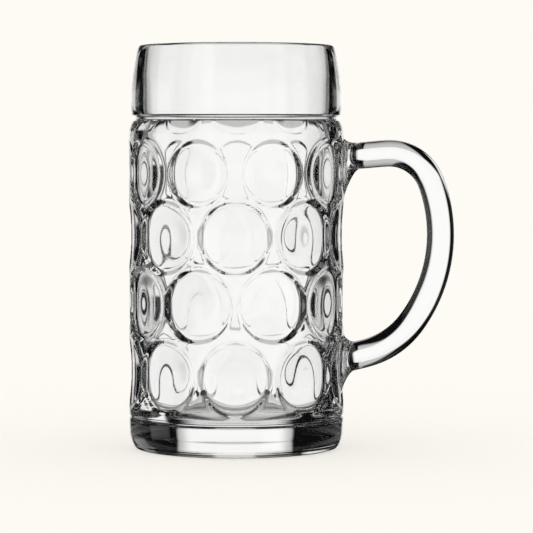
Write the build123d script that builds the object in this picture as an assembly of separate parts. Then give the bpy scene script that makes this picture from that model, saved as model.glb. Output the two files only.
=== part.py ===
from build123d import *
import math
import os

# A dimpled glass beer mug: a thick-walled vessel with a D-shaped rod handle, in millimetres.
# The origin is the centre of the foot on the table, +Z is up and the handle points along +X.

# Vessel, from the table up
BODY_DIAMETER = 106.8  # outside of the foot and of the land between the dimples
PUSH_UP_RISE = 2.0  # hollow under the base, at its centre
CONTACT_RING_WIDTH = 10.0  # flat ring that the mug stands on
FOOT_EDGE_INSET = 5.0  # how far the rounded bottom edge draws in
FOOT_EDGE_RISE = 10.0  # how high the rounded bottom edge reaches
FOOT_HEIGHT = 14.6  # table to the line round the top of the foot
FOOT_LINE_HEIGHT = 3.0  # shallow groove that makes that line
FOOT_LINE_DEPTH = 0.5
WALL_ABOVE_TOP_ROW = 13.7  # centre of the top row of dimples to the shoulder
SHOULDER_HEIGHT = 11.0  # rounded shoulder, up to the neck groove
NECK_DEPTH = 3.0  # how far the shoulder draws in
BAND_EDGE_HEIGHT = 2.8  # from the neck groove out to the drinking band
BAND_INSET = 1.2  # drinking band, in from the wall
BAND_STRAIGHT = 3.2  # upright stretch at the foot of the band
BAND_CURVE_HEIGHT = 27.8  # curved stretch, up to the lip
BAND_TAPER = 3.2  # how far that stretch draws in
LIP_RISE = 2.2  # rounded lip
LIP_THICKNESS = 4.4

# Cavity
WALL_THICKNESS = 7.2  # at the land between the dimples
FLOOR_THICKNESS = 15.0
FLOOR_CORNER_RADIUS = 8.0
CAVITY_TAPER_HEIGHT = 20.0  # inner wall that follows the band's curve, below the lip

# Dimples
DIMPLES_PER_ROW = 9
DIMPLE_WIDTH = 33.8  # straight across
DIMPLE_HEIGHT = 35.4
TOP_DIMPLE_WIDTH = 29.8
TOP_DIMPLE_HEIGHT = 32.4
DIMPLE_HOLLOW = 0.7  # floor of a dimple, below the flat across its sides
FIRST_ROW_RISE = 21.1  # line of the foot to the centre of the bottom row
LOWER_ROW_PITCH = 35.7
MIDDLE_ROW_PITCH = 33.7
TOP_ROW_PITCH = 31.2
CUTTER_MARGIN = 3.0  # extra size of a dimple's cutting solid

# Handle, a round rod on tangent arcs
ROD_DIAMETER = 13.6
HANDLE_BELOW_SHOULDER = 8.2  # shoulder down to the rod's centre line at the wall
HANDLE_RISE_ANGLE = 5.0  # the top stub climbs away from the wall
TOP_STUB_LENGTH = 21.0  # wall to the top bend
TOP_BEND_RADIUS = 22.0
TOP_BEND_ANGLE = 74.0
GRIP_RADIUS = 74.0
GRIP_ANGLE = 57.5
LOWER_BEND_RADIUS = 40.0
LOWER_BEND_ANGLE = 38.5

# Bosses, the flared pads of glass between the rod's ends and the wall
UPPER_BOSS_LENGTH = 12.6  # wall to the rod's end, along the rod
LOWER_BOSS_LENGTH = 9.4
UPPER_LANDING_ABOVE = 3.4  # landing on the wall, beyond the rod's outline
UPPER_LANDING_BELOW = 16.0
LOWER_LANDING_ABOVE = 7.4
LOWER_LANDING_BELOW = 11.6
LANDING_SIDE = 3.7
UPPER_WAIST_OUT = 5.6  # waist of the flare, out from the wall
LOWER_WAIST_OUT = 4.1
UPPER_WAIST_ABOVE = 0.2  # waist, beyond the rod's outline
UPPER_WAIST_BELOW = 5.8
LOWER_WAIST_ABOVE = 1.6
LOWER_WAIST_BELOW = 2.6
WAIST_SIDE = 0.8
LANDING_SINK = 5.2  # the landing's core runs on this far, to fill the dimple under it

# Places worked out from the sizes above
body_radius = BODY_DIAMETER / 2
cavity_radius = body_radius - WALL_THICKNESS
contact_outer_radius = body_radius - FOOT_EDGE_INSET
contact_inner_radius = contact_outer_radius - CONTACT_RING_WIDTH
wall_bottom = FOOT_HEIGHT + FOOT_LINE_HEIGHT
bottom_row = wall_bottom + FIRST_ROW_RISE
third_row = bottom_row + LOWER_ROW_PITCH
second_row = third_row + MIDDLE_ROW_PITCH
top_row = second_row + TOP_ROW_PITCH
wall_top = top_row + WALL_ABOVE_TOP_ROW
neck_height = wall_top + SHOULDER_HEIGHT
neck_radius = body_radius - NECK_DEPTH
band_bottom = neck_height + BAND_EDGE_HEIGHT
band_radius = body_radius - BAND_INSET
band_bend = band_bottom + BAND_STRAIGHT
lip_base = band_bend + BAND_CURVE_HEIGHT
lip_outer_radius = band_radius - BAND_TAPER
lip_inner_radius = lip_outer_radius - LIP_THICKNESS
mug_height = lip_base + LIP_RISE
rod_radius = ROD_DIAMETER / 2


def vessel_section():
    """Half section of the vessel in radius and height, from the base's centre round to the floor's centre."""
    foot_edge_centre = (contact_outer_radius, FOOT_EDGE_RISE)
    line_depth_point = (body_radius - FOOT_LINE_DEPTH, FOOT_HEIGHT + FOOT_LINE_HEIGHT / 2)
    lip_top = ((lip_outer_radius + lip_inner_radius) / 2, mug_height)
    cavity_bend = (cavity_radius, lip_base - CAVITY_TAPER_HEIGHT)
    floor_corner = (cavity_radius - FLOOR_CORNER_RADIUS, FLOOR_THICKNESS + FLOOR_CORNER_RADIUS)
    floor_edge = (floor_corner[0], FLOOR_THICKNESS)
    base_centre = (0, PUSH_UP_RISE)
    floor_centre = (0, FLOOR_THICKNESS)
    outside = [
        TangentArc(base_centre, (contact_inner_radius, 0), tangent=(1, 0)),
        Line((contact_inner_radius, 0), (contact_outer_radius, 0)),
        EllipticalCenterArc(foot_edge_centre, FOOT_EDGE_INSET, FOOT_EDGE_RISE, start_angle=270, arc_size=90),
        Line((body_radius, FOOT_EDGE_RISE), (body_radius, FOOT_HEIGHT)),
        ThreePointArc((body_radius, FOOT_HEIGHT), line_depth_point, (body_radius, wall_bottom)),
        Line((body_radius, wall_bottom), (body_radius, wall_top)),
        TangentArc((body_radius, wall_top), (neck_radius, neck_height), tangent=(0, 1)),
        Line((neck_radius, neck_height), (band_radius, band_bottom)),
        Line((band_radius, band_bottom), (band_radius, band_bend)),
        TangentArc((band_radius, band_bend), (lip_outer_radius, lip_base), tangent=(0, 1)),
    ]
    lip = ThreePointArc((lip_outer_radius, lip_base), lip_top, (lip_inner_radius, lip_base))
    inside = [
        TangentArc(cavity_bend, (lip_inner_radius, lip_base), tangent=(0, 1)),
        Line(cavity_bend, (cavity_radius, floor_corner[1])),
        CenterArc(floor_corner, FLOOR_CORNER_RADIUS, 270, 90),
        Line(floor_edge, floor_centre),
        Line(floor_centre, base_centre),
    ]
    return make_face(outside + [lip] + inside)


def dimple_cutter(height, width, tall):
    """Barrel-shaped solid that presses one dimple into the wall on the -Y side, centred at the given height."""
    half_width = width / 2
    half_tall = tall / 2
    side_angle = math.asin(half_width / body_radius)
    depth = body_radius * (1 - math.cos(side_angle)) + DIMPLE_HOLLOW
    across_radius = (half_width**2 + DIMPLE_HOLLOW**2) / (2 * DIMPLE_HOLLOW)
    upright_radius = (half_tall**2 + depth**2) / (2 * depth)
    floor_radius = body_radius - depth
    reach = half_tall + CUTTER_MARGIN
    sag = upright_radius - math.sqrt(upright_radius**2 - reach**2)
    back = floor_radius + sag + CUTTER_MARGIN
    section = make_face(
        [
            ThreePointArc(
                (floor_radius + sag, height - reach), (floor_radius, height), (floor_radius + sag, height + reach)
            ),
            Polyline(
                (floor_radius + sag, height + reach),
                (back, height + reach),
                (back, height - reach),
                (floor_radius + sag, height - reach),
            ),
        ]
    )
    barrel_axis = Axis((floor_radius + across_radius, 0, 0), (0, 0, 1))
    half_sweep = math.degrees(math.asin((half_width + CUTTER_MARGIN) / across_radius))
    wedge = revolve(Plane.XZ * section, barrel_axis, 2 * half_sweep).rotate(barrel_axis, -half_sweep)
    return Rot(0, 0, -90) * wedge


def mug_body():
    """The vessel: the section turned round the axis, less four staggered rows of dimples."""
    step = 360 / DIMPLES_PER_ROW
    rows = [
        (bottom_row, DIMPLE_WIDTH, DIMPLE_HEIGHT, 0),
        (third_row, DIMPLE_WIDTH, DIMPLE_HEIGHT, step / 2),
        (second_row, DIMPLE_WIDTH, DIMPLE_HEIGHT, 0),
        (top_row, TOP_DIMPLE_WIDTH, TOP_DIMPLE_HEIGHT, step / 2),
    ]
    cutters = []
    for height, width, tall, turn in rows:
        cutter = dimple_cutter(height, width, tall)
        cutters += [Rot(0, 0, turn + step * number) * cutter for number in range(DIMPLES_PER_ROW)]
    return revolve(Plane.XZ * vessel_section(), Axis.Z) - cutters


def handle_path():
    """Centre line of the handle from wall to wall: two straight stubs joined by three tangent bends."""
    rise = math.radians(HANDLE_RISE_ANGLE)
    start = (body_radius, wall_top - HANDLE_BELOW_SHOULDER)
    heading = (math.cos(rise), math.sin(rise))
    stub_end = (start[0] + TOP_STUB_LENGTH * heading[0], start[1] + TOP_STUB_LENGTH * heading[1])
    top_stub = Line(start, stub_end)
    top_bend = JernArc(top_stub @ 1, top_stub % 1, TOP_BEND_RADIUS, -TOP_BEND_ANGLE)
    grip = JernArc(top_bend @ 1, top_bend % 1, GRIP_RADIUS, -GRIP_ANGLE)
    lower_bend = JernArc(grip @ 1, grip % 1, LOWER_BEND_RADIUS, -LOWER_BEND_ANGLE)
    lower_start = lower_bend @ 1
    lower_heading = lower_bend % 1
    lower_length = (lower_start.X - body_radius) / -lower_heading.X
    lower_stub = Line(lower_start, lower_start + lower_heading * lower_length)
    return top_stub, top_bend, grip, lower_bend, lower_stub


def upright(point):
    """A point or heading of the handle's flat drawing, stood up in the XZ plane."""
    return Vector(point.X, 0, point.Y)


def rod_end(stub, wall_point, length):
    """Plane across the rod where a boss begins, facing away from the wall, and the joint's height on the wall."""
    outward = (upright(stub @ 0.5) - upright(wall_point)).normalized()
    joint = upright(wall_point)
    return Plane(joint + outward * length, x_dir=(0, 1, 0), z_dir=outward), joint.Z, outward


def flare_section(out, height, above, below, side):
    """Upright ellipse at a distance out from the wall, reaching beyond a rod centred at the given height."""
    tall = ROD_DIAMETER + above + below
    centre = Vector(body_radius + out, 0, height + (above - below) / 2)
    return Plane(centre, x_dir=(0, 1, 0), z_dir=(1, 0, 0)) * Ellipse(rod_radius + side, tall / 2)


def handle_boss(end, joint_height, outward, waist_out, waist, landing, body):
    """Flared pad: rod end to waist to landing, then a straight core, cut to the wall that it sits on."""
    waist_height = joint_height + waist_out * outward.Z / outward.X
    waist_face = flare_section(waist_out, waist_height, waist[0], waist[1], WAIST_SIDE)
    landing_face = flare_section(0, joint_height, landing[0], landing[1], LANDING_SIDE)
    flare = loft([end * Circle(rod_radius), waist_face, landing_face])
    core = extrude(landing_face, amount=LANDING_SINK, dir=(-1, 0, 0))
    return flare + core - body


os.makedirs("parts", exist_ok=True)

vessel = mug_body()

top_stub, top_bend, grip, lower_bend, lower_stub = handle_path()
upper_end, upper_joint, upper_outward = rod_end(top_stub, top_stub @ 0, UPPER_BOSS_LENGTH)
lower_end, lower_joint, lower_outward = rod_end(lower_stub, lower_stub @ 1, LOWER_BOSS_LENGTH)

rod_start = Vector(upper_end.origin.X, upper_end.origin.Z)
rod_finish = Vector(lower_end.origin.X, lower_end.origin.Z)
rod_line = [Line(rod_start, top_stub @ 1), top_bend, grip, lower_bend, Line(lower_stub @ 0, rod_finish)]
rod_path = Plane.XZ * Wire([piece.edge() for piece in rod_line])
handle = sweep(upper_end * Circle(rod_radius), path=rod_path)

upper_boss = handle_boss(
    upper_end,
    upper_joint,
    upper_outward,
    UPPER_WAIST_OUT,
    (UPPER_WAIST_ABOVE, UPPER_WAIST_BELOW),
    (UPPER_LANDING_ABOVE, UPPER_LANDING_BELOW),
    vessel,
)
lower_boss = handle_boss(
    lower_end,
    lower_joint,
    lower_outward,
    LOWER_WAIST_OUT,
    (LOWER_WAIST_ABOVE, LOWER_WAIST_BELOW),
    (LOWER_LANDING_ABOVE, LOWER_LANDING_BELOW),
    vessel,
)

pieces = {
    "mug_body": vessel,
    "handle": handle,
    "upper_handle_boss": upper_boss,
    "lower_handle_boss": lower_boss,
}
for name, piece in pieces.items():
    export_step(piece, f"parts/{name}.step")
    print(f"{name}: {piece.volume / 1000:.1f} cm3, solids {len(piece.solids())}")

print(f"mug height {mug_height:.1f}, rod length {rod_path.length:.1f}")
print(f"handle joints at heights {upper_joint:.1f} and {lower_joint:.1f}")
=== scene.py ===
# %% [markdown]
# A dimpled glass beer mug, rebuilt as four closed glass surfaces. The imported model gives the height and
# width of the vessel and the extent of the two bosses that weld the handle to the wall. Glass is judged
# by what is seen through it, so a facet or a seam shows at once. Each CAD solid is therefore replaced by
# one smooth surface in its place.

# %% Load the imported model
import math

import bpy
import numpy as np
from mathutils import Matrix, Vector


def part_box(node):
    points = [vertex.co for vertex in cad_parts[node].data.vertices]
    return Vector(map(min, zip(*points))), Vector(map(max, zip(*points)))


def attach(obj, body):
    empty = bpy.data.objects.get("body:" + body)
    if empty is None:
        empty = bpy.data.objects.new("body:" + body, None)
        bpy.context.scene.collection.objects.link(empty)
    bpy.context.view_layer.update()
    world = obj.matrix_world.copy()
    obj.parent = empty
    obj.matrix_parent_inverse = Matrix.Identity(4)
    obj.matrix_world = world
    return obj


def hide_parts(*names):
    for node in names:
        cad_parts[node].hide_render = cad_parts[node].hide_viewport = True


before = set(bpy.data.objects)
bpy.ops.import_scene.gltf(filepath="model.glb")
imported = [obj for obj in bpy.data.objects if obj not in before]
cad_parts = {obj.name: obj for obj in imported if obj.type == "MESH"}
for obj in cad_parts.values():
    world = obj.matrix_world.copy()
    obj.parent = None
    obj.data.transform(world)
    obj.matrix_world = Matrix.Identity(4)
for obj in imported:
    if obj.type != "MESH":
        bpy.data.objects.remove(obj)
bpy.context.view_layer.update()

MM = 0.001
print("nodes", sorted(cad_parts))

# %% [markdown]
# The vessel is a turned shape with hollows pressed into its wall. It could be a spun curve or a lathe
# modifier, but a half section made of straight runs and arcs says it in the fewest numbers, as the
# drawing of its mould would. The height and the largest radius come from the CAD node. The rest are named
# here, and radii are counted inwards.

# %% Sizes of the vessel
body_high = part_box("mug_body")[1]
MUG_HEIGHT = body_high.z
BODY_RADIUS = body_high.x
CONTACT_RADIUS = BODY_RADIUS - 15.0 * MM
PUSH_UP = 2.0 * MM
PUSH_UP_RADIUS = 0.55 * CONTACT_RADIUS
HEEL_RADIUS = BODY_RADIUS - 2.8 * MM
HEEL_HEIGHT = 6.0 * MM
FOOT_TOP = 14.6 * MM
FOOT_LINE = 3.0 * MM
FOOT_LINE_RADIUS = BODY_RADIUS - 0.6 * MM
SHOULDER_HEIGHT = 158.84 * MM
NECK_HEIGHT = 164.0 * MM
NECK_RADIUS = BODY_RADIUS - 3.2 * MM
NECK_HALF = 1.5 * MM
NECK_FLOOR_HALF = 0.9 * MM
SHOULDER_EDGE = BODY_RADIUS - 1.9 * MM
BAND_EDGE = BODY_RADIUS - 1.7 * MM
BAND_RADIUS = BODY_RADIUS - 1.2 * MM
BAND_BOTTOM = 168.6 * MM
BAND_TURN = 184.05 * MM
LIP_OUTER = BODY_RADIUS - 4.91 * MM
LIP_INNER = LIP_OUTER - 4.24 * MM
LIP_BEND = 1.6 * MM
CAVITY_RADIUS = BODY_RADIUS - 7.2 * MM
CAVITY_TURN = 187.8 * MM
FLOOR_HEIGHT = 15.0 * MM
FLOOR_BEND = 8.0 * MM
print(f"mug {MUG_HEIGHT / MM:.1f} mm tall, {2 * BODY_RADIUS / MM:.1f} mm across")

# %% Half section of the vessel
def rounded_outline(corners, arc_points=24):
    """Points along straight runs whose corners are arcs.

    A corner is (radius from the axis, height, bend radius). An arc touches both runs at bend * tan(turn / 2)
    from the corner, and its centre lies at bend / cos(turn / 2) along the line that halves the corner.
    """
    points = [np.array(corners[0][:2])]
    for before, corner, after in zip(corners, corners[1:], corners[2:]):
        here = np.array(corner[:2])
        back = np.array(before[:2]) - here
        ahead = np.array(after[:2]) - here
        back = back / np.linalg.norm(back)
        ahead = ahead / np.linalg.norm(ahead)
        half_turn = (math.pi - math.acos(np.clip(back @ ahead, -1, 1))) / 2
        touch = corner[2] * math.tan(half_turn)
        middle = back + ahead
        centre = here + middle / np.linalg.norm(middle) * corner[2] / math.cos(half_turn)
        first = here + back * touch - centre
        last = here + ahead * touch - centre
        share = np.linspace(0, 1, arc_points)[:, None]
        turned = np.sin((1 - share) * 2 * half_turn) * first + np.sin(share * 2 * half_turn) * last
        points.extend(centre + turned / math.sin(2 * half_turn))
    points.append(np.array(corners[-1][:2]))
    return np.array(points)


# From the middle of the underside up the outside, over the lip and down to the middle of the cavity's floor.
outline = rounded_outline([
    (0, PUSH_UP, 0),
    (PUSH_UP_RADIUS, PUSH_UP, 60 * MM),
    (CONTACT_RADIUS, 0, 4 * MM),
    (HEEL_RADIUS, 0, 3.4 * MM),
    (BODY_RADIUS, HEEL_HEIGHT, 17 * MM),
    (BODY_RADIUS, FOOT_TOP, 0.8 * MM),
    (FOOT_LINE_RADIUS, FOOT_TOP + FOOT_LINE / 2, 2 * MM),
    (BODY_RADIUS, FOOT_TOP + FOOT_LINE, 0.8 * MM),
    (BODY_RADIUS, SHOULDER_HEIGHT, 16 * MM),
    (SHOULDER_EDGE, NECK_HEIGHT - NECK_HALF, 0.3 * MM),
    (NECK_RADIUS, NECK_HEIGHT - NECK_FLOOR_HALF, 0.25 * MM),
    (NECK_RADIUS, NECK_HEIGHT + NECK_FLOOR_HALF, 0.25 * MM),
    (BAND_EDGE, NECK_HEIGHT + NECK_HALF, 0.3 * MM),
    (BAND_RADIUS, BAND_BOTTOM, 8 * MM),
    (BAND_RADIUS, BAND_TURN, 120 * MM),
    (LIP_OUTER, MUG_HEIGHT, LIP_BEND),
    (LIP_INNER, MUG_HEIGHT, LIP_BEND),
    (CAVITY_RADIUS, CAVITY_TURN, 60 * MM),
    (CAVITY_RADIUS, FLOOR_HEIGHT, FLOOR_BEND),
    (0, FLOOR_HEIGHT, 0),
])
print("outline points", len(outline))

# %% [markdown]
# Each hollow has a short steep side and a shallow floor. A wall that is blown into a mould follows it on
# both faces, so the cavity face is taken to stand inwards behind every hollow, as a soft dome. The
# photograph doesn't show how deep either is. The depths were chosen by trial, as those that leave the
# middle hollows as clear as they are there. Cutting hollows out with booleans would leave sharp rims and
# a ragged mesh. Here hollows and domes are formulas of angle and height that are taken from the radius.
# The angle is folded into one pitch, so a whole row costs no more than one hollow.

# %% Hollows and the domes behind them
HOLLOWS_PER_ROW = 9
PITCH = 2 * math.pi / HOLLOWS_PER_ROW
FRONT = -math.pi / 2
SIDE_DEPTH = 0.9 * MM
SIDE_WIDTH = 2.3 * MM
BOWL_DEPTH = 1.0 * MM
DOME_DEPTH = 2.3 * MM
DOME_SPREAD = 1.08
# Each row: height of its centres, half width, half height, angle of one hollow. The heights are up to
# 2.6 mm below the CAD's, which puts the rows where the photograph has them for the camera further down.
hollow_rows = [
    (38.3 * MM, 18.0 * MM, 18.5 * MM, FRONT),
    (73.2 * MM, 18.0 * MM, 18.5 * MM, FRONT + PITCH / 2),
    (106.0 * MM, 18.0 * MM, 18.5 * MM, FRONT),
    (136.7 * MM, 15.9 * MM, 16.9 * MM, FRONT + PITCH / 2),
]


def hollow_share(angle, height, row):
    """Distance along the wall from the nearest centre of a row, as a share of the hollow's half size."""
    row_height, half_width, half_height, phase = row
    folded = np.mod(angle - phase + PITCH / 2, PITCH) - PITCH / 2
    return np.hypot(BODY_RADIUS * folded / half_width, (height - row_height) / half_height)


def hollow_depth(angle, height):
    """Depth of the hollows below the plain wall.

    With s the share of the half size, the side is a smooth step from s = 1 inwards over the side's width,
    and the floor adds a bowl of 1 - s squared.
    """
    depth = np.zeros(np.broadcast(angle, height).shape)
    for row in hollow_rows:
        share = hollow_share(angle, height, row)
        inward = np.clip((1 - share) * row[1] / SIDE_WIDTH, 0, 1)
        step = inward * inward * (3 - 2 * inward)
        bowl = np.clip(1 - share * share, 0, 1)
        depth = depth + step * (SIDE_DEPTH + BOWL_DEPTH * bowl)
    return depth


def dome_depth(angle, height):
    """How far the cavity face stands in: the square of 1 - s squared, with s on a slightly wider hollow."""
    depth = np.zeros(np.broadcast(angle, height).shape)
    for row in hollow_rows:
        share = hollow_share(angle, height, row) / DOME_SPREAD
        depth = depth + DOME_DEPTH * np.clip(1 - share * share, 0, 1) ** 2
    return depth


deepest = hollow_depth(np.array([FRONT]), np.array([hollow_rows[0][0]]))[0]
print(f"{len(hollow_rows)} rows of {HOLLOWS_PER_ROW} hollows, {deepest / MM:.2f} mm deep")

# %% [markdown]
# The photograph has dark lines low on the foot. Two fine rings round the heel, such as a mould might
# leave, are a guess at their cause. They are too small for the corner list, so they are a cosine wave
# taken from the radius on a close row of points along the half section.

# %% Fine rings on the heel
HEEL_RINGS = 2
HEEL_RING_LOW = 0.6 * MM
HEEL_RING_SPAN = 3.0 * MM
HEEL_RING_DEPTH = 0.18 * MM
DENSE_POINTS = 12000


def dense_outline(points):
    """Evenly spaced points along the half section, with the heel's rings, and which lie on the outside."""
    length = np.linalg.norm(np.diff(points, axis=0), axis=1)
    points = points[np.append(True, length > 1e-7)]
    along = np.append(0, np.cumsum(np.linalg.norm(np.diff(points, axis=0), axis=1)))
    station = np.linspace(0, along[-1], DENSE_POINTS)
    radius = np.interp(station, along, points[:, 0])
    height = np.interp(station, along, points[:, 1])
    outside = np.arange(DENSE_POINTS) < np.argmax(height)
    on_heel = outside & (height < HEEL_HEIGHT) & (radius > CONTACT_RADIUS)
    wave = np.clip((height - HEEL_RING_LOW) / HEEL_RING_SPAN, 0, 1) * HEEL_RINGS
    radius = radius - on_heel * HEEL_RING_DEPTH * (1 - np.cos(2 * math.pi * wave)) / 2
    return station, radius, height, outside


dense_along, dense_radius, dense_height, dense_outside = dense_outline(outline)
print(f"half section {dense_along[-1] / MM:.1f} mm long")

# %% [markdown]
# Rows of the mesh should lie close together where the glass bends and far apart where it is plain. Rather
# than pick them by hand, the wanted spacing is worked out at every point, and stations are set evenly in
# the running sum of length over spacing. The same rule then gives fine rows on the lip, the neck, the
# heel and the hollows.

# %% Rows along the half section
PLAIN_STEP = 8.0 * MM
HOLLOW_STEP = 1.0 * MM
DOME_STEP = 2.0 * MM
TURN_STEP = math.radians(10.0)
HOLLOWS_FROM = 20.0 * MM
HOLLOWS_TO = 156.5 * MM
SMOOTH_POINTS = 12


def spread_rows():
    """Stations at the least of the plain step, the hollow or dome step, and turn step over curvature."""
    heading = np.unwrap(np.arctan2(np.gradient(dense_height), np.gradient(dense_radius)))
    window = np.hanning(2 * SMOOTH_POINTS + 1)
    heading = np.convolve(np.pad(heading, SMOOTH_POINTS, mode="edge"), window / window.sum(), mode="valid")
    curvature = np.abs(np.gradient(heading, dense_along))
    spacing = np.minimum(PLAIN_STEP, TURN_STEP / np.maximum(curvature, 1e-6))
    shaped = (dense_height > HOLLOWS_FROM) & (dense_height < HOLLOWS_TO)
    finest = np.where(dense_outside, HOLLOW_STEP, DOME_STEP)
    spacing = np.where(shaped, np.minimum(spacing, finest), spacing)
    weight = np.append(0, np.cumsum(np.diff(dense_along) / spacing[1:]))
    station = np.interp(np.linspace(0, weight[-1], int(round(weight[-1])) + 1), weight, dense_along)
    outside = np.interp(station, dense_along, dense_outside.astype(float)) > 0.5
    radius = np.interp(station, dense_along, dense_radius)
    return radius, np.interp(station, dense_along, dense_height), outside


row_radius, row_height, row_is_outside = spread_rows()
print("rows", len(row_radius), "of them outside", int(row_is_outside.sum()))

# %% [markdown]
# Every piece here is a stack of rings that closes at a point at each end. One function makes such a mesh
# from an array of rings. It measures the volume that the faces enclose, and turns them round if it is
# negative, so that all faces point outwards. Glass needs that, because its shader tells entering light
# from leaving light by the faces.

# %% Closed surface from rings
def closed_surface(name, rings):
    """Mesh of rings from one pole to the other, with quads between rings and a fan at each pole.

    rings is an array of ring, point and coordinate. The first and last ring are single points, repeated.
    """
    ring_count, point_count = rings.shape[:2]
    vertices = np.vstack([rings[0, 0], rings[1:-1].reshape(-1, 3), rings[-1, 0]])
    point = np.arange(point_count)
    following = (point + 1) % point_count
    first = 1 + np.arange(ring_count - 3)[:, None] * point_count
    second = first + point_count
    quads = np.stack([first + point, first + following, second + following, second + point], axis=-1)
    quads = quads.reshape(-1, 4)
    last_ring = 1 + (ring_count - 3) * point_count
    end_pole = np.full(point_count, len(vertices) - 1)
    start_fan = np.stack([np.zeros(point_count, int), 1 + following, 1 + point], axis=-1)
    end_fan = np.stack([end_pole, last_ring + point, last_ring + following], axis=-1)
    corner = vertices[np.vstack([quads[:, [0, 1, 2]], quads[:, [0, 2, 3]], start_fan, end_fan])]
    volume = np.einsum("ij,ij->i", corner[:, 0], np.cross(corner[:, 1], corner[:, 2])).sum() / 6
    turn = -1 if volume < 0 else 1
    faces = [*quads[:, ::turn].tolist(), *start_fan[:, ::turn].tolist(), *end_fan[:, ::turn].tolist()]
    mesh = bpy.data.meshes.new(name)
    mesh.from_pydata(vertices.tolist(), [], faces)
    mesh.shade_smooth()
    piece = bpy.data.objects.new(name, mesh)
    bpy.context.scene.collection.objects.link(piece)
    print(f"{name}: {2 * len(quads) + 2 * point_count} triangles, {abs(volume) * 1e6:.1f} cm3")
    return piece


# %% Vessel
COLUMNS = 36 * HOLLOWS_PER_ROW
FLOOR_MARGIN = 0.1 * MM
column_angle = np.arange(COLUMNS) * 2 * math.pi / COLUMNS
row_in_cavity = ~row_is_outside & (row_height > FLOOR_HEIGHT + FLOOR_MARGIN)
hollows = hollow_depth(column_angle[None, :], row_height[:, None]) * row_is_outside[:, None]
domes = dome_depth(column_angle[None, :], row_height[:, None]) * row_in_cavity[:, None]
ring_radius = row_radius[:, None] - hollows - domes
vessel_rings = np.stack(
    [
        ring_radius * np.cos(column_angle),
        ring_radius * np.sin(column_angle),
        np.broadcast_to(row_height[:, None], ring_radius.shape),
    ],
    axis=-1,
)
vessel = closed_surface("glass_vessel", vessel_rings)

# %% [markdown]
# The handle is a rod that was bent while hot. A curve object with a bevel would do, but its bends would
# start at once, and hot glass has no sudden change of bend. So the line is written as lengths with a
# curvature each, the curvature is smoothed over a short window, summed up to a heading, and the heading
# is summed up to points.

# %% Centre line of the handle
UPPER_JOINT_HEIGHT = 144.8 * MM
RISE = math.radians(5.0)
TOP_BEND = 22.0 * MM
GRIP_BEND = 74.0 * MM
LOW_BEND = 40.0 * MM
# Each stretch: its length and its curvature.
stretches = [
    (21.0 * MM, 0),
    (TOP_BEND * math.radians(74.0), 1 / TOP_BEND),
    (GRIP_BEND * math.radians(57.5), 1 / GRIP_BEND),
    (LOW_BEND * math.radians(38.5), 1 / LOW_BEND),
    (30.0 * MM, 0),
]
PATH_STEP = 0.25 * MM
SMOOTHING = 10.0 * MM


def bent_path():
    """Distance, place and heading along the rod's centre line, from the wall to the wall again."""
    ends = np.cumsum([length for length, _ in stretches])
    along = np.arange(0, ends[-1], PATH_STEP)
    curvature = np.array([bend for _, bend in stretches])[np.searchsorted(ends, along, side="right")]
    half_window = int(SMOOTHING / PATH_STEP / 2)
    window = np.hanning(2 * half_window + 1)
    curvature = np.convolve(np.pad(curvature, half_window, mode="edge"), window / window.sum(), mode="valid")
    heading = RISE - np.cumsum(curvature) * PATH_STEP
    x = BODY_RADIUS + np.cumsum(np.cos(heading)) * PATH_STEP
    z = UPPER_JOINT_HEIGHT + np.cumsum(np.sin(heading)) * PATH_STEP
    count = np.flatnonzero(x >= BODY_RADIUS)[-1] + 1
    return along[:count], x[:count], z[:count], heading[:count]


path_along, path_x, path_z, path_heading = bent_path()
print(f"rod {path_along[-1] / MM:.1f} mm long, reaches {path_x.max() / MM:.1f} mm from the axis")

# %% [markdown]
# In the photograph the rod has a broad clear core with a soft edge, so its section is taken to be flatter
# towards the viewer than a circle. An oval with two powers gives that section: a higher power across the
# rod keeps the faces flat, and a lower one rounds the sides. The rod grows a little thicker towards its
# lower end.

# %% Section of the rod
ROD_TOP_HALF = 6.6 * MM
ROD_BOTTOM_HALF = 7.05 * MM
ROD_DEPTH_SHARE = 0.8
FACE_POWER = 3.0
EDGE_POWER = 2.2
ROD_POINTS = 96
SECTION_SAMPLES = 4001


def rod_section():
    """Flat-faced oval: |across| to the face power plus |side / depth| to the edge power is 1."""
    turn = np.linspace(0, 2 * math.pi, SECTION_SAMPLES)
    across = np.sign(np.cos(turn)) * np.abs(np.cos(turn)) ** (2 / FACE_POWER)
    side = ROD_DEPTH_SHARE * np.sign(np.sin(turn)) * np.abs(np.sin(turn)) ** (2 / EDGE_POWER)
    along = np.append(0, np.cumsum(np.hypot(np.diff(across), np.diff(side))))
    station = np.linspace(0, along[-1], ROD_POINTS + 1)[:-1]
    return np.interp(station, along, across), np.interp(station, along, side)


def rod_ring(along, shrink=1.0):
    """The section at a distance along the path, on the path's normal and on Y."""
    along = np.asarray(along, float)[..., None]
    x = np.interp(along, path_along, path_x)
    z = np.interp(along, path_along, path_z)
    heading = np.interp(along, path_along, path_heading)
    half = shrink * (ROD_TOP_HALF + (ROD_BOTTOM_HALF - ROD_TOP_HALF) * along / path_along[-1])
    across = section_across * half
    side = section_side * half
    return np.stack([x - across * np.sin(heading), side, z + across * np.cos(heading)], axis=-1)


section_across, section_side = rod_section()
section_turn = np.arctan2(section_side / ROD_DEPTH_SHARE, section_across)
print(f"rod {2 * ROD_TOP_HALF / MM:.1f} mm thick above, {2 * ROD_BOTTOM_HALF / MM:.1f} mm below")

# %% [markdown]
# Each boss is the gather of hot glass that welds the rod to the wall. It leaves the rod along the rod,
# spreads and lies down on the wall, tightly above and at the sides and in a long sweep below. Its back
# follows the wall, hollows and all, a little under the skin, so that no film of air shows as a mirror
# between the two.

# %% Wall under a boss
WALL_SINK = 0.1 * MM
outside_height = row_height[row_is_outside]
outside_radius = row_radius[row_is_outside]
upward = np.argsort(outside_height, kind="stable")


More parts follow.
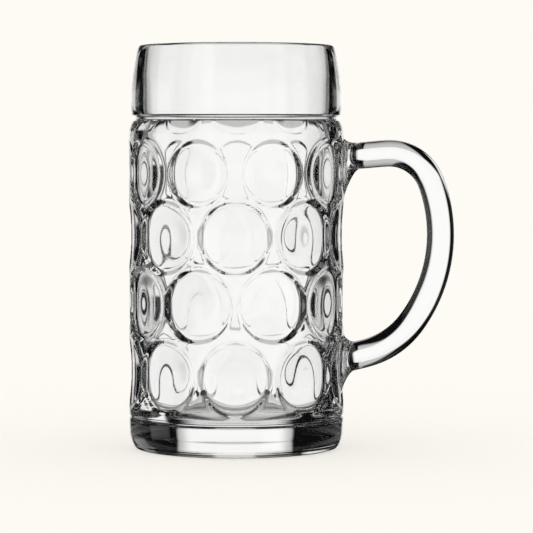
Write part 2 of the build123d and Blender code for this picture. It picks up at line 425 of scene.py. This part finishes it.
def wall_point(y, z):
    """Point of the hollowed wall at a given Y and height on the handle's side, sunk a little."""
    angle = np.arcsin(np.clip(y / BODY_RADIUS, -1, 1))
    plain = np.interp(z, outside_height[upward], outside_radius[upward])
    radius = plain - hollow_depth(angle, z) - WALL_SINK
    return np.stack([np.sqrt(radius**2 - y**2), y, z], axis=-1)


print("wall behind the upper boss, mm", wall_point(np.zeros(1), np.array([UPPER_JOINT_HEIGHT]))[0] / MM)

# %% Seam between rod and boss
class Seam:
    """Where the rod meets a boss: the line round the rod from which the flare starts.

    reach is how far from the wall the flare starts at the top, the sides and the bottom. Round the rod it
    blends by the squares of cosine and sine.
    """

    def __init__(self, along, toward_wall, reach):
        heading = float(np.interp(along, path_along, path_heading))
        self.inward = toward_wall * np.array([math.cos(heading), 0, math.sin(heading)])
        self.rise = -toward_wall * np.cos(section_turn)
        self.aside = np.sin(section_turn)
        self.outline = rod_ring(along)
        self.centre = rod_ring(along, 0.0)
        above = np.clip(self.rise, 0, 1) ** 2
        below = np.clip(-self.rise, 0, 1) ** 2
        self.blend = np.stack([above, self.aside**2, below], axis=-1)
        wall = wall_point(self.outline[:, 1], self.outline[:, 2])
        self.to_wall = (self.outline[:, 0] - wall[:, 0]) / abs(self.inward[0])
        self.line = self.outline + (self.to_wall - self.blend @ np.array(reach))[:, None] * self.inward


UPPER_STUB = 11.0 * MM
LOWER_STUB = path_along[-1] - 8.5 * MM
upper_seam = Seam(UPPER_STUB, -1, reach=(6.0 * MM, 4.4 * MM, 9.5 * MM))
lower_seam = Seam(LOWER_STUB, 1, reach=(6.5 * MM, 4.4 * MM, 7.0 * MM))
for seam in (upper_seam, lower_seam):
    print(f"seam from {seam.line[:, 0].min() / MM:.1f} to {seam.line[:, 0].max() / MM:.1f} mm from the axis")

# %% Rounded end of the rod
END_RINGS = 12
END_TIP = 3.4 * MM
WELD_GAP = 0.01 * MM


def rounded_end(seam):
    """Rings from the seam to a tip near the wall: width falls as a cosine, depth follows its square."""
    share = np.cos(np.linspace(0, math.pi / 2, END_RINGS))[1:, None, None]
    seam_depth = (seam.line - seam.outline) @ seam.inward
    tip_depth = np.mean(seam.to_wall) - END_TIP
    depth = seam_depth * share[..., 0] ** 2 + tip_depth * (1 - share[..., 0] ** 2)
    return seam.centre + share * (seam.outline - seam.centre) + depth[..., None] * seam.inward


upper_end = rounded_end(upper_seam)
lower_end = rounded_end(lower_seam)
print("rings on each rounded end", len(upper_end))

# %% Flare and back of a boss
FLARE_RINGS = 30
BACK_RINGS = 14
FULLNESS = np.array([1.5, 1.5, 0.9])


def flare_and_back(seam, node):
    """Rings of a boss from the seam to the wall, and from there to the middle of its back.

    The flare is a cubic that starts along the rod and ends along the wall, in an oval as large as the CAD
    boss. The fullness of the curve blends round the rod as the reach does.
    """
    low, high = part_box(node)
    half_width = (high.y - low.y) / 2
    half_height = (high.z - low.z) / 2
    nothing = np.zeros(ROD_POINTS)
    spread = np.stack([nothing, half_width * seam.aside, half_height * seam.rise], axis=-1)
    middle = (low.z + high.z) / 2
    landing = wall_point(spread[:, 1], middle + spread[:, 2])
    gap = landing - seam.line
    toward = (gap @ seam.inward)[:, None]
    sideways = np.linalg.norm(gap - toward * seam.inward, axis=1)[:, None]
    outward = spread / np.linalg.norm(spread, axis=1)[:, None]
    full = (seam.blend @ FULLNESS)[:, None]
    share = np.linspace(0, 1, FLARE_RINGS)[:, None, None]
    flare = (
        (2 * share**3 - 3 * share**2 + 1) * seam.line
        + (share**3 - 2 * share**2 + share) * full * toward * seam.inward
        + (3 * share**2 - 2 * share**3) * landing
        + (share**3 - share**2) * full * sideways * outward
    )
    shrunk = np.linspace(1, 0, BACK_RINGS)[1:, None, None] * spread
    return flare, wall_point(shrunk[..., 1], middle + shrunk[..., 2])


upper_flare, upper_back = flare_and_back(upper_seam, "upper_handle_boss")
lower_flare, lower_back = flare_and_back(lower_seam, "lower_handle_boss")
print("rings on each boss", len(upper_flare) + len(upper_back))

# %% [markdown]
# The rod's rounded ends lie in seats of the same shape in the bosses. The two skins are a hundredth of a
# millimetre apart, because faces that coincide would flicker, and glass pieces that overlap would bend
# light twice.

# %% Handle and bosses
ROD_RINGS = 130
rod = rod_ring(np.linspace(UPPER_STUB, LOWER_STUB, ROD_RINGS))
upper_gap = WELD_GAP * upper_seam.inward
lower_gap = WELD_GAP * lower_seam.inward
handle = closed_surface("handle_rod", np.concatenate([
    (upper_end + upper_gap)[::-1], upper_seam.line[None], rod, lower_seam.line[None], lower_end + lower_gap,
]))
upper_seat = (upper_end - upper_gap)[::-1]
lower_seat = (lower_end - lower_gap)[::-1]
upper_boss = closed_surface("upper_boss", np.concatenate([upper_seat, upper_flare, upper_back]))
lower_boss = closed_surface("lower_boss", np.concatenate([lower_seat, lower_flare, lower_back]))

# %% [markdown]
# The glass, the floor and the studio are all made of shader nodes. In code that is always the same work:
# add a node, then set or link its inputs. A small class does it once.

# %% Node helper
class ShaderGraph:
    """A node tree, with one short method for each kind of node that is used more than once."""

    def __init__(self, tree):
        self.tree = tree

    def add(self, kind, **settings):
        """A new node with its settings."""
        node = self.tree.nodes.new(kind)
        for name, value in settings.items():
            setattr(node, name, value)
        return node

    def fill(self, socket, value):
        """Link an output to a socket, or set a plain value on it."""
        if isinstance(value, bpy.types.NodeSocket):
            self.tree.links.new(value, socket)
        else:
            socket.default_value = value

    def calculate(self, operation, *values):
        """One Math node."""
        node = self.add("ShaderNodeMath", operation=operation)
        for socket, value in zip(node.inputs, values):
            self.fill(socket, value)
        return node.outputs[0]

    def fade(self, value, low, high, from_value, to_value):
        """A smooth step from one value to another while the input goes from low to high."""
        node = self.add("ShaderNodeMapRange", interpolation_type="SMOOTHSTEP")
        for socket, number in zip(node.inputs, (value, low, high, from_value, to_value)):
            self.fill(socket, number)
        return node.outputs["Result"]

    def mix_colour(self, factor, first, second):
        """One colour Mix node."""
        node = self.add("ShaderNodeMix", data_type="RGBA")
        for index, value in ((0, factor), (6, first), (7, second)):
            self.fill(node.inputs[index], value)
        return node.outputs[2]

    def mix_shader(self, factor, first, second):
        """One Mix Shader node."""
        node = self.add("ShaderNodeMixShader")
        for socket, value in zip(node.inputs, (factor, first.outputs[0], second.outputs[0])):
            self.fill(socket, value)
        return node


print("node helper ready")

# %% [markdown]
# Clear soda-lime glass is nearly all surface: full transmission, an index of 1.5 and a polished skin. Two
# faint traces of its making are added. Slow waves in the skin, some hundredths of a millimetre deep, sway
# the lines that are seen through the wall. Cords, streaks of a slightly different melt, tint it by less
# than a percent. Both are noise on Object coordinates, drawn out along the height. How strong they are is
# a guess, and the rod is taken to be smoother than the vessel, with longer and shallower waves.

# %% Glass
GLASS_INDEX = 1.5
GLASS_SHINE = 0.25
CLEAR_MELT = (1.0, 1.0, 1.0, 1.0)
CORD_MELT = (0.993, 0.998, 0.996, 1.0)
DRAWN_OUT = 0.4
CORD_SIZE = 22.0 * MM
CORD_DETAIL = 3.0
CORD_FROM = 0.4
CORD_FULL = 0.7


def clear_glass(name, wave_size, wave_depth):
    """Polished clear glass with faint cords in its colour and slow waves in its skin."""
    material = bpy.data.materials.new(name)
    material.use_nodes = True
    graph = ShaderGraph(material.node_tree)
    shader = material.node_tree.nodes["Principled BSDF"]
    shader.inputs["Roughness"].default_value = 0.0
    shader.inputs["IOR"].default_value = GLASS_INDEX
    shader.inputs["Transmission Weight"].default_value = 1.0
    shader.inputs["Specular IOR Level"].default_value = GLASS_SHINE
    place = graph.add("ShaderNodeMapping")
    graph.fill(place.inputs["Vector"], graph.add("ShaderNodeTexCoord").outputs["Object"])
    graph.fill(place.inputs["Scale"], (1.0, 1.0, DRAWN_OUT))
    cords = graph.add("ShaderNodeTexNoise")
    waves = graph.add("ShaderNodeTexNoise")
    for noise, size, detail in ((cords, CORD_SIZE, CORD_DETAIL), (waves, wave_size, 0.0)):
        graph.fill(noise.inputs["Vector"], place.outputs["Vector"])
        graph.fill(noise.inputs["Scale"], 1 / size)
        graph.fill(noise.inputs["Detail"], detail)
    tint = graph.fade(cords.outputs[0], CORD_FROM, CORD_FULL, 0.0, 1.0)
    graph.fill(shader.inputs["Base Color"], graph.mix_colour(tint, CLEAR_MELT, CORD_MELT))
    skin = graph.add("ShaderNodeBump")
    graph.fill(skin.inputs["Distance"], wave_depth)
    graph.fill(skin.inputs["Height"], waves.outputs[0])
    graph.fill(shader.inputs["Normal"], skin.outputs["Normal"])
    return material


body_glass = clear_glass("body_glass", wave_size=14.0 * MM, wave_depth=0.05 * MM)
handle_glass = clear_glass("handle_glass", wave_size=20.0 * MM, wave_depth=0.03 * MM)
for piece, material, node, slot in (
    (vessel, body_glass, "mug_body", "body_glass"),
    (handle, handle_glass, "handle", "handle_glass"),
    (upper_boss, handle_glass, "upper_handle_boss", "handle_glass"),
    (lower_boss, handle_glass, "lower_handle_boss", "handle_glass"),
):
    piece.data.materials.append(material)
    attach(piece, "root")
    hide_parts(node)
    print(piece.name, "takes the place of", node, "in", material.name)

# %% [markdown]
# Clear glass has no colour of its own: it shows the room, bent. To photograph it, a bright card is set
# behind it and everything else is kept black. Places that look straight through stay white, and steep
# edges bend the view past the card and turn black. Lamps would only add glints, so the room here is a
# formula of direction: upright cards, given by compass angle and height above the horizon, on black. The
# first stands behind the mug for the main view, with a narrow grey one that reaches higher and lower.
# Three stand behind the mug for other sides. Two dim strips stand in front, to the left and right. The
# last card, behind the camera, is mirrored in the faces of the glass, and makes up for the light that
# they turn back. Straight below lies the pale ground that shows through the mug from above.

# %% Cards of the studio
PAPER = (0.991, 0.965, 0.905, 1.0)
WHITE = (1.0, 1.0, 1.0, 1.0)
CARD_WHITE = (1.0, 0.995, 0.985, 1.0)
ROOM_DARK = (0.004, 0.004, 0.004, 1.0)
CARD_CRISP = 1.0
CARD_CORE = 0.7
# Each card, in degrees: compass angle, half width, lowest and highest elevation, softness of the lower and
# upper edges. Then its brightness.
cards = [
    (90.0, 22.0, -12.0, 9.5, 2.0, 1.0),
    (90.0, 8.0, -38.0, 36.0, 24.0, 0.6),
    (180.0, 15.0, -14.0, 8.0, 3.0, 0.95),
    (135.0, 17.0, -38.0, -13.0, 3.0, 0.95),
    (315.0, 17.0, -42.0, 10.0, 3.0, 0.95),
    (212.0, 8.0, -12.0, 28.0, 3.0, 0.3),
    (328.0, 8.0, -12.0, 28.0, 3.0, 0.3),
    (270.0, 40.0, -10.0, 16.0, 4.0, 0.6),
]
GROUND_FROM = -48.0
GROUND_FULL = -64.0
GROUND_LEVEL = 0.7
world = bpy.data.worlds.new("studio")
bpy.context.scene.world = world
world.use_nodes = True
world.cycles.sampling_method = "NONE"
world.node_tree.nodes.clear()
room = ShaderGraph(world.node_tree)
direction = room.add("ShaderNodeSeparateXYZ")
room.fill(direction.inputs[0], room.add("ShaderNodeTexCoord").outputs["Generated"])
from_east = room.calculate("ARCTAN2", direction.outputs["Y"], direction.outputs["X"])
compass = room.calculate("DEGREES", from_east)
elevation = room.calculate("DEGREES", room.calculate("ARCSINE", direction.outputs["Z"]))


def card_light(centre, half, low, high, soft, level):
    """Brightness of a card: full in its core, half at its crisp sides, with soft lower and upper edges."""
    offset = room.calculate("WRAP", room.calculate("SUBTRACT", compass, centre), 180.0, -180.0)
    aside = room.calculate("ABSOLUTE", offset)
    falloff = room.fade(aside, half * CARD_CORE, half, level, level / 2)
    inside = room.fade(aside, half - CARD_CRISP, half + CARD_CRISP, 1.0, 0.0)
    above = room.fade(elevation, low - soft, low + soft, 0.0, 1.0)
    below = room.fade(elevation, high - soft, high + soft, 1.0, 0.0)
    across = room.calculate("MULTIPLY", falloff, inside)
    return room.calculate("MULTIPLY", across, room.calculate("MULTIPLY", above, below))


light = room.fade(elevation, GROUND_FULL, GROUND_FROM, GROUND_LEVEL, 0.0)
for card in cards:
    light = room.calculate("MAXIMUM", light, card_light(*card))
print("cards", len(cards))

# %% [markdown]
# Only light that has met the glass sees that room. The camera sees plain paper, and the floor is lit by
# an even white sky, as in a light tent. Light that leaves the floor and then meets the glass is the
# shadow's light: it sees only a small share of the dark room, because a clear mug casts a faint shadow.

# %% Who sees what
SHADOW_SHARE = 0.05
path = room.add("ShaderNodeLightPath")
by_glass = room.calculate("MAXIMUM", path.outputs["Is Glossy Ray"], path.outputs["Is Transmission Ray"])
first_hand = room.fade(path.outputs["Diffuse Depth"], 0.0, 1.0, 1.0, SHADOW_SHARE)
plain = room.mix_colour(path.outputs["Is Camera Ray"], WHITE, PAPER)
studio = room.mix_colour(light, ROOM_DARK, CARD_WHITE)
background = room.add("ShaderNodeBackground")
seen_by_glass = room.calculate("MULTIPLY", by_glass, first_hand)
room.fill(background.inputs["Color"], room.mix_colour(seen_by_glass, plain, studio))
room.fill(room.add("ShaderNodeOutputWorld").inputs["Surface"], background.outputs[0])
print("studio nodes", len(world.node_tree.nodes))

# %% [markdown]
# The floor is a large round sheet of warm white paper. It lets light that comes through the glass pass on
# to the studio, so that the cards alone decide what the glass shows. For the camera half of it glows as
# paper on a light table does, which leaves half of the mug's shadow.

# %% Floor
FLOOR_RADIUS = 6.0
FLOOR_GAP = 0.2 * MM
FLOOR_SIDES = 128
GLOW_SHARE = 0.5
turn = np.arange(FLOOR_SIDES) * 2 * math.pi / FLOOR_SIDES
level = np.full(FLOOR_SIDES, -FLOOR_GAP)
edge = np.stack([FLOOR_RADIUS * np.cos(turn), FLOOR_RADIUS * np.sin(turn), level], axis=-1)
floor_mesh = bpy.data.meshes.new("floor")
floor_mesh.from_pydata(edge.tolist(), [], [list(range(FLOOR_SIDES))])
floor = bpy.data.objects.new("floor", floor_mesh)
bpy.context.scene.collection.objects.link(floor)
paper = bpy.data.materials.new("paper_floor")
paper.use_nodes = True
paper.node_tree.nodes.clear()
sheet = ShaderGraph(paper.node_tree)
matt = sheet.add("ShaderNodeBsdfDiffuse")
sheet.fill(matt.inputs["Color"], PAPER)
glow = sheet.add("ShaderNodeEmission")
sheet.fill(glow.inputs["Color"], PAPER)
path = sheet.add("ShaderNodeLightPath")
glowing = sheet.calculate("MULTIPLY", path.outputs["Is Camera Ray"], GLOW_SHARE)
by_glass = sheet.calculate("MAXIMUM", path.outputs["Is Glossy Ray"], path.outputs["Is Transmission Ray"])
seen = sheet.mix_shader(glowing, matt, glow)
seen = sheet.mix_shader(by_glass, seen, sheet.add("ShaderNodeBsdfTransparent"))
sheet.fill(sheet.add("ShaderNodeOutputMaterial").inputs["Surface"], seen.outputs[0])
floor_mesh.materials.append(paper)
print("floor", 2 * FLOOR_RADIUS, "m across")

# %% [markdown]
# In the photograph the lines at the neck are straight, the lip is seen a little from below and the foot
# from above, so the camera stands a little under the neck. Its height and distance come from how open the
# ovals at the lip and the foot are: about 2.2 and 6.5 degrees. The lens follows from the size of one pixel
# at the mug's axis.

# %% Camera
CAMERA_DISTANCE = 1.31
CAMERA_HEIGHT = 0.150
AIM_HEIGHT = 90.3 * MM
AIM_SIDE = 15.0 * MM
PIXEL_SIZE = 0.4981 * MM
IMAGE_SIZE = 533
SENSOR_WIDTH = 36.0
camera_data = bpy.data.cameras.new("photo_camera")
camera = bpy.data.objects.new("photo_camera", camera_data)
bpy.context.scene.collection.objects.link(camera)
bpy.context.scene.camera = camera
drop = CAMERA_HEIGHT - AIM_HEIGHT
camera.location = (AIM_SIDE, -CAMERA_DISTANCE, CAMERA_HEIGHT)
camera.rotation_euler = (math.pi / 2 - math.atan2(drop, CAMERA_DISTANCE), 0, 0)
camera_data.sensor_width = SENSOR_WIDTH
camera_data.lens = SENSOR_WIDTH * math.hypot(CAMERA_DISTANCE, drop) / (IMAGE_SIZE * PIXEL_SIZE)
camera_data.clip_end = 50
print(f"lens {camera_data.lens:.1f} mm")

# %% [markdown]
# Light that enters at the mug's edge is turned back many times before it leaves. With few bounces it
# would be lost and those places would turn black, so the limits are high. Standard view transform keeps
# the paper's white as it is.

# %% Render settings
scene = bpy.context.scene
scene.view_settings.view_transform = "Standard"
scene.cycles.max_bounces = 40
scene.cycles.transmission_bounces = 40
scene.cycles.glossy_bounces = 16
scene.cycles.transparent_max_bounces = 16
print("most bounces", scene.cycles.max_bounces)
